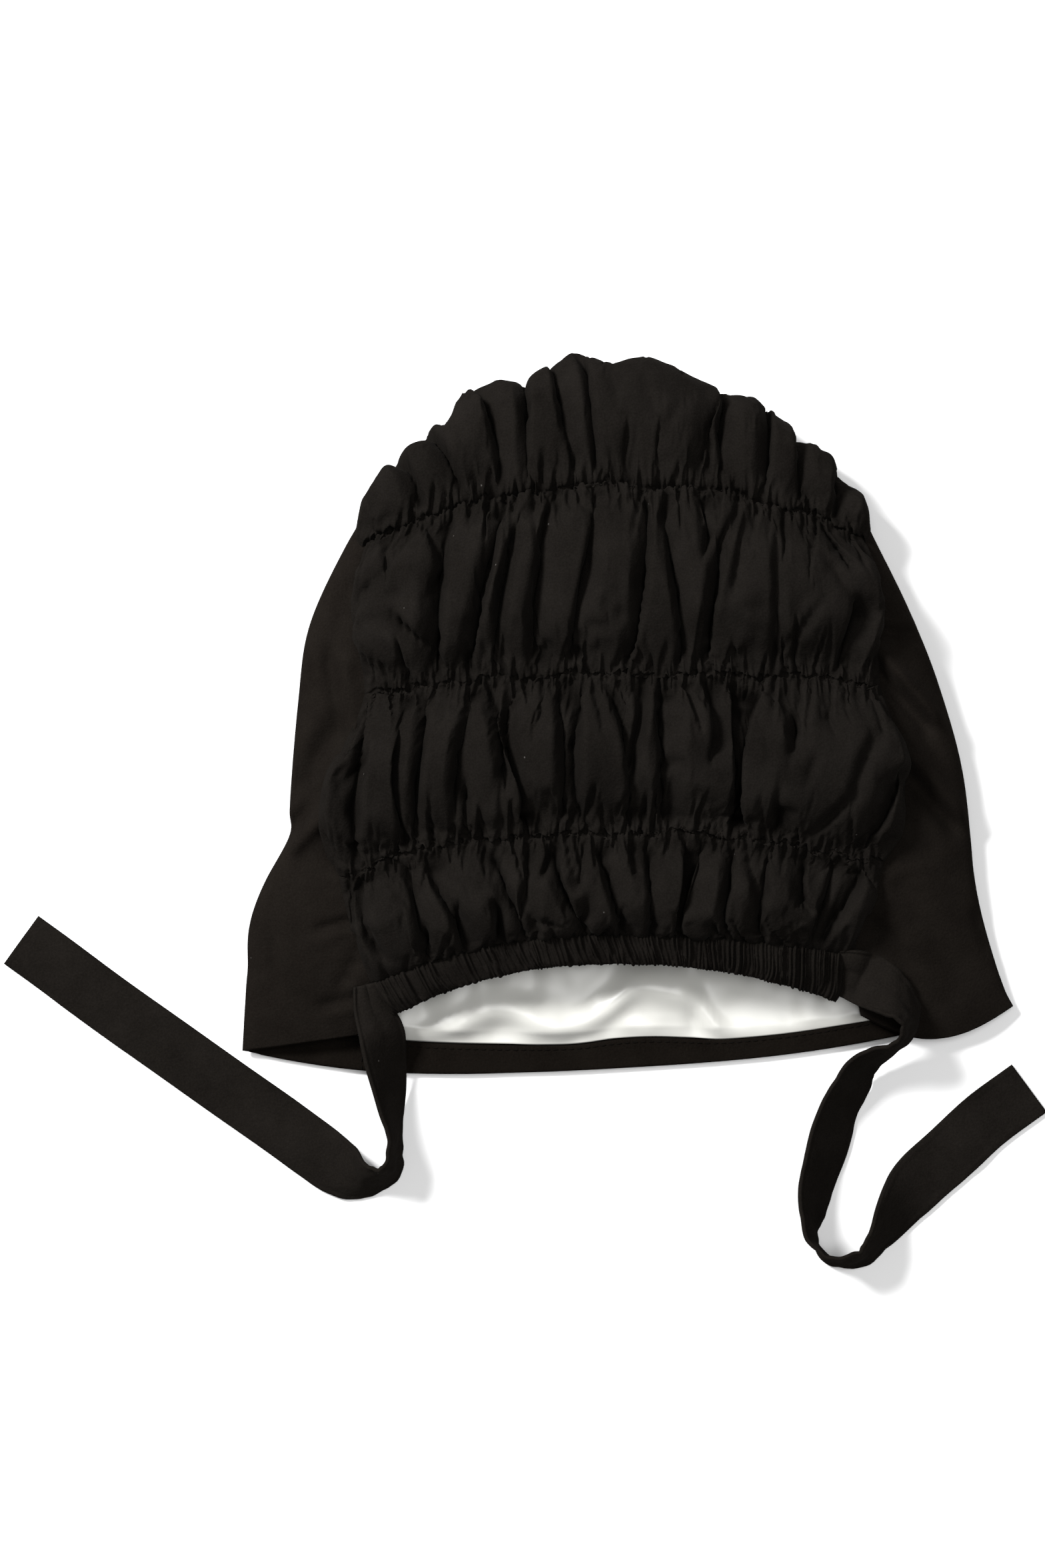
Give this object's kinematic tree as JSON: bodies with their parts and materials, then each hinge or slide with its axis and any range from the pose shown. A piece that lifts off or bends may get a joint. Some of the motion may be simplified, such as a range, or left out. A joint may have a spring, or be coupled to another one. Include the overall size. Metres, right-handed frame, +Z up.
{
  "type": "sleep bonnet",
  "caption": "Lined sleep bonnet lying face down, with a shirred back panel over the crown, an elastic nape casing, a plain wrap-round hood panel, a hemmed open mouth and flat fabric ties.",
  "frame": {"origin": "on the surface that the bonnet lies on, under the middle of the whole outline with its ties spread out", "axes": "+X across the bonnet to the right as seen from above, +Y from the open mouth to the crown, +Z up from the surface"},
  "size_m": [0.3916, 0.3394, 0.0409],
  "materials": {
    "shirred_cloth": "brushed matte knit, gathered",
    "plain_cloth": "brushed matte knit",
    "tie_cloth": "brushed matte knit",
    "satin_lining": "smooth satin"
  },
  "bodies": {
    "root": {"back_panel": "shirred_cloth", "hood_panel": "plain_cloth", "front_hem": "plain_cloth", "nape_casing": "shirred_cloth", "lining": "satin_lining", "tie_left": "tie_cloth", "tie_right": "tie_cloth"}
  },
  "joints": []
}
